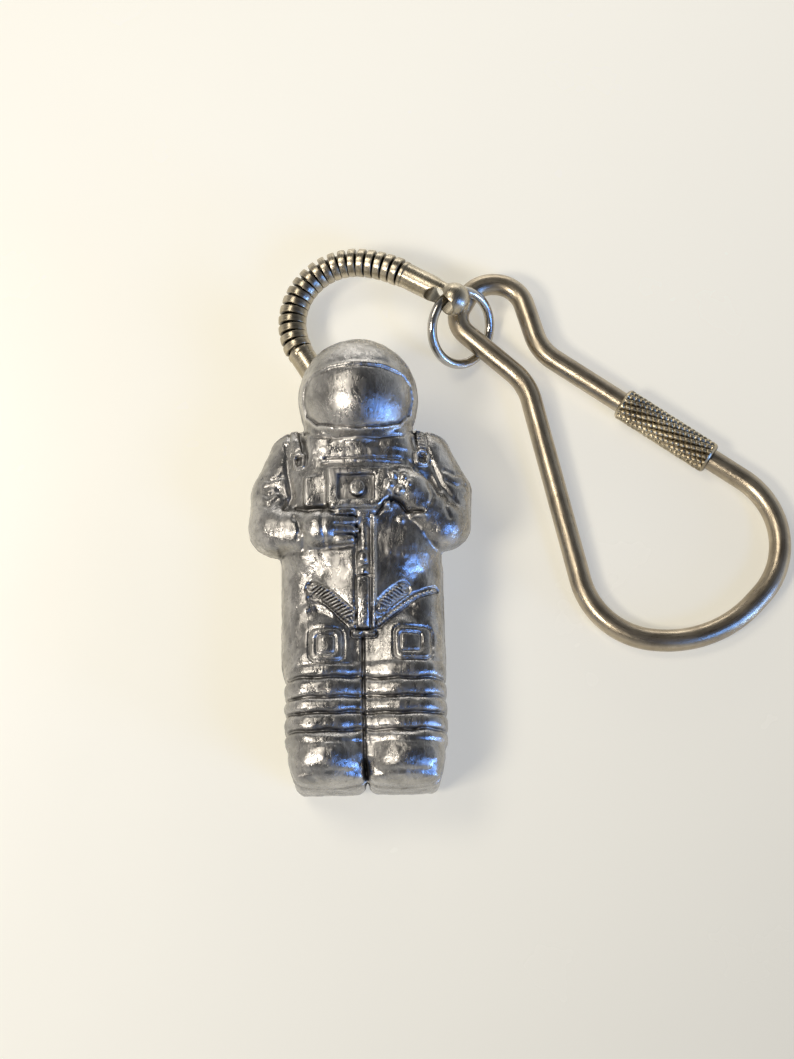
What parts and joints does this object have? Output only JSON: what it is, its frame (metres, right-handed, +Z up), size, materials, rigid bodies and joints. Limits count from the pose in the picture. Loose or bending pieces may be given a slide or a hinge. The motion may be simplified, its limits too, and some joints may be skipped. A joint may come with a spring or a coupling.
{
  "type": "key chain with astronaut statuette",
  "caption": "Key chain: a cast pewter astronaut statuette lying on its back, joined by a short snake chain and a jump ring to a teardrop wire key ring closed by a knurled sleeve.",
  "frame": {"origin": "Middle of the flat back face of the statuette's pack, on the resting surface.", "axes": "+Z up from the resting surface through the chest, +Y towards the head, +X to the side on which the key ring lies."},
  "size_m": [0.0536, 0.0569, 0.0156],
  "materials": {
    "pewter_casting": "antiqued cast pewter, mottled casting skin, darker in the recesses",
    "nickel_hardware": "dull nickel plate, worn satin",
    "steel_wire": "nickel-plated steel wire, satin with fine scratches"
  },
  "bodies": {
    "statuette": {"astronaut": "pewter_casting", "eye_staple": "steel_wire"},
    "lower_cap": {"lower_cap": "nickel_hardware"},
    "link_01": {"link_01": "nickel_hardware"},
    "link_02": {"link_02": "nickel_hardware"},
    "link_03": {"link_03": "nickel_hardware"},
    "link_04": {"link_04": "nickel_hardware"},
    "link_05": {"link_05": "nickel_hardware"},
    "link_06": {"link_06": "nickel_hardware"},
    "link_07": {"link_07": "nickel_hardware"},
    "link_08": {"link_08": "nickel_hardware"},
    "link_09": {"link_09": "nickel_hardware"},
    "link_10": {"link_10": "nickel_hardware"},
    "link_11": {"link_11": "nickel_hardware"},
    "link_12": {"link_12": "nickel_hardware"},
    "link_13": {"link_13": "nickel_hardware"},
    "link_14": {"link_14": "nickel_hardware"},
    "link_15": {"link_15": "nickel_hardware"},
    "link_16": {"link_16": "nickel_hardware"},
    "link_17": {"link_17": "nickel_hardware"},
    "link_18": {"link_18": "nickel_hardware"},
    "link_19": {"link_19": "nickel_hardware"},
    "upper_cap": {"upper_cap": "nickel_hardware"},
    "jump_ring": {"jump_ring": "steel_wire"},
    "key_ring": {"key_ring": "steel_wire"},
    "sleeve": {"knurled_sleeve": "nickel_hardware"}
  },
  "joints": [
    {"name": "cap_swing", "type": "hinge", "parent": "statuette", "child": "lower_cap", "pos_m": [-0.003, 0.0133, 0.0029], "axis": [-0.1543, -0.0719, 0.9854], "range_deg": [-20, 35]},
    {"name": "bend_01", "type": "hinge", "parent": "lower_cap", "child": "link_01", "pos_m": [-0.00617, 0.01839, 0.00278], "axis": [0.1543, 0.0719, -0.9854], "range_deg": [-8.7, 0.6]},
    {"name": "bend_02", "type": "hinge", "parent": "link_01", "child": "link_02", "pos_m": [-0.00655, 0.01927, 0.00278], "axis": [0.1543, 0.0719, -0.9854], "range_deg": [-8.7, 0.6]},
    {"name": "bend_03", "type": "hinge", "parent": "link_02", "child": "link_03", "pos_m": [-0.00679, 0.0202, 0.00281], "axis": [0.1543, 0.0719, -0.9854], "range_deg": [-8.7, 0.6]},
    {"name": "bend_04", "type": "hinge", "parent": "link_03", "child": "link_04", "pos_m": [-0.0069, 0.02116, 0.00286], "axis": [0.1543, 0.0719, -0.9854], "range_deg": [-8.7, 0.6]},
    {"name": "bend_05", "type": "hinge", "parent": "link_04", "child": "link_05", "pos_m": [-0.00686, 0.02211, 0.00294], "axis": [0.1543, 0.0719, -0.9854], "range_deg": [-8.7, 0.6]},
    {"name": "bend_06", "type": "hinge", "parent": "link_05", "child": "link_06", "pos_m": [-0.00667, 0.02305, 0.00304], "axis": [0.1543, 0.0719, -0.9854], "range_deg": [-8.7, 0.6]},
    {"name": "bend_07", "type": "hinge", "parent": "link_06", "child": "link_07", "pos_m": [-0.00635, 0.02395, 0.00315], "axis": [0.1543, 0.0719, -0.9854], "range_deg": [-8.7, 0.6]},
    {"name": "bend_08", "type": "hinge", "parent": "link_07", "child": "link_08", "pos_m": [-0.0059, 0.02478, 0.00328], "axis": [0.1543, 0.0719, -0.9854], "range_deg": [-8.7, 0.6]},
    {"name": "bend_09", "type": "hinge", "parent": "link_08", "child": "link_09", "pos_m": [-0.00532, 0.02554, 0.00343], "axis": [0.1543, 0.0719, -0.9854], "range_deg": [-8.7, 0.6]},
    {"name": "bend_10", "type": "hinge", "parent": "link_09", "child": "link_10", "pos_m": [-0.00464, 0.02619, 0.00358], "axis": [0.1543, 0.0719, -0.9854], "range_deg": [-8.7, 0.6]},
    {"name": "bend_11", "type": "hinge", "parent": "link_10", "child": "link_11", "pos_m": [-0.00387, 0.02674, 0.00375], "axis": [0.1543, 0.0719, -0.9854], "range_deg": [-8.7, 0.6]},
    {"name": "bend_12", "type": "hinge", "parent": "link_11", "child": "link_12", "pos_m": [-0.00302, 0.02716, 0.00391], "axis": [0.1543, 0.0719, -0.9854], "range_deg": [-8.7, 0.6]},
    {"name": "bend_13", "type": "hinge", "parent": "link_12", "child": "link_13", "pos_m": [-0.00212, 0.02744, 0.00407], "axis": [0.1543, 0.0719, -0.9854], "range_deg": [-8.7, 0.6]},
    {"name": "bend_14", "type": "hinge", "parent": "link_13", "child": "link_14", "pos_m": [-0.00118, 0.02759, 0.00423], "axis": [0.1543, 0.0719, -0.9854], "range_deg": [-8.7, 0.6]},
    {"name": "bend_15", "type": "hinge", "parent": "link_14", "child": "link_15", "pos_m": [-0.00023, 0.02758, 0.00438], "axis": [0.1543, 0.0719, -0.9854], "range_deg": [-8.7, 0.6]},
    {"name": "bend_16", "type": "hinge", "parent": "link_15", "child": "link_16", "pos_m": [0.00071, 0.02744, 0.00451], "axis": [0.1543, 0.0719, -0.9854], "range_deg": [-4.42, 0.32]},
    {"name": "bend_17", "type": "hinge", "parent": "link_16", "child": "link_17", "pos_m": [0.00163, 0.02722, 0.00464], "axis": [0.1543, 0.0719, -0.9854], "range_deg": [-4.42, 0.32]},
    {"name": "bend_18", "type": "hinge", "parent": "link_17", "child": "link_18", "pos_m": [0.00254, 0.02693, 0.00476], "axis": [0.1543, 0.0719, -0.9854], "range_deg": [-4.42, 0.32]},
    {"name": "bend_19", "type": "hinge", "parent": "link_18", "child": "link_19", "pos_m": [0.00342, 0.02657, 0.00487], "axis": [0.1543, 0.0719, -0.9854], "range_deg": [-4.42, 0.32]},
    {"name": "bend_20", "type": "hinge", "parent": "link_19", "child": "upper_cap", "pos_m": [0.00428, 0.02614, 0.00498], "axis": [0.1543, 0.0719, -0.9854], "range_deg": [-4.42, 0.32]},
    {"name": "jump_ring_swing", "type": "hinge", "parent": "upper_cap", "child": "jump_ring", "pos_m": [0.00916, 0.02326, 0.00564], "axis": [0.7266, 0.6427, -0.243], "range_deg": [-12, 20]},
    {"name": "key_ring_turn", "type": "hinge", "parent": "jump_ring", "child": "key_ring", "pos_m": [0.0105, 0.0208, 0.00315], "axis": [0.5862, -0.3954, 0.7071], "range_deg": [-12, 18]},
    {"name": "sleeve_slide", "type": "slide", "parent": "key_ring", "child": "sleeve", "axis": [-0.824, 0.5661, 0.0241], "range_m": [0, 0.0064]}
  ]
}
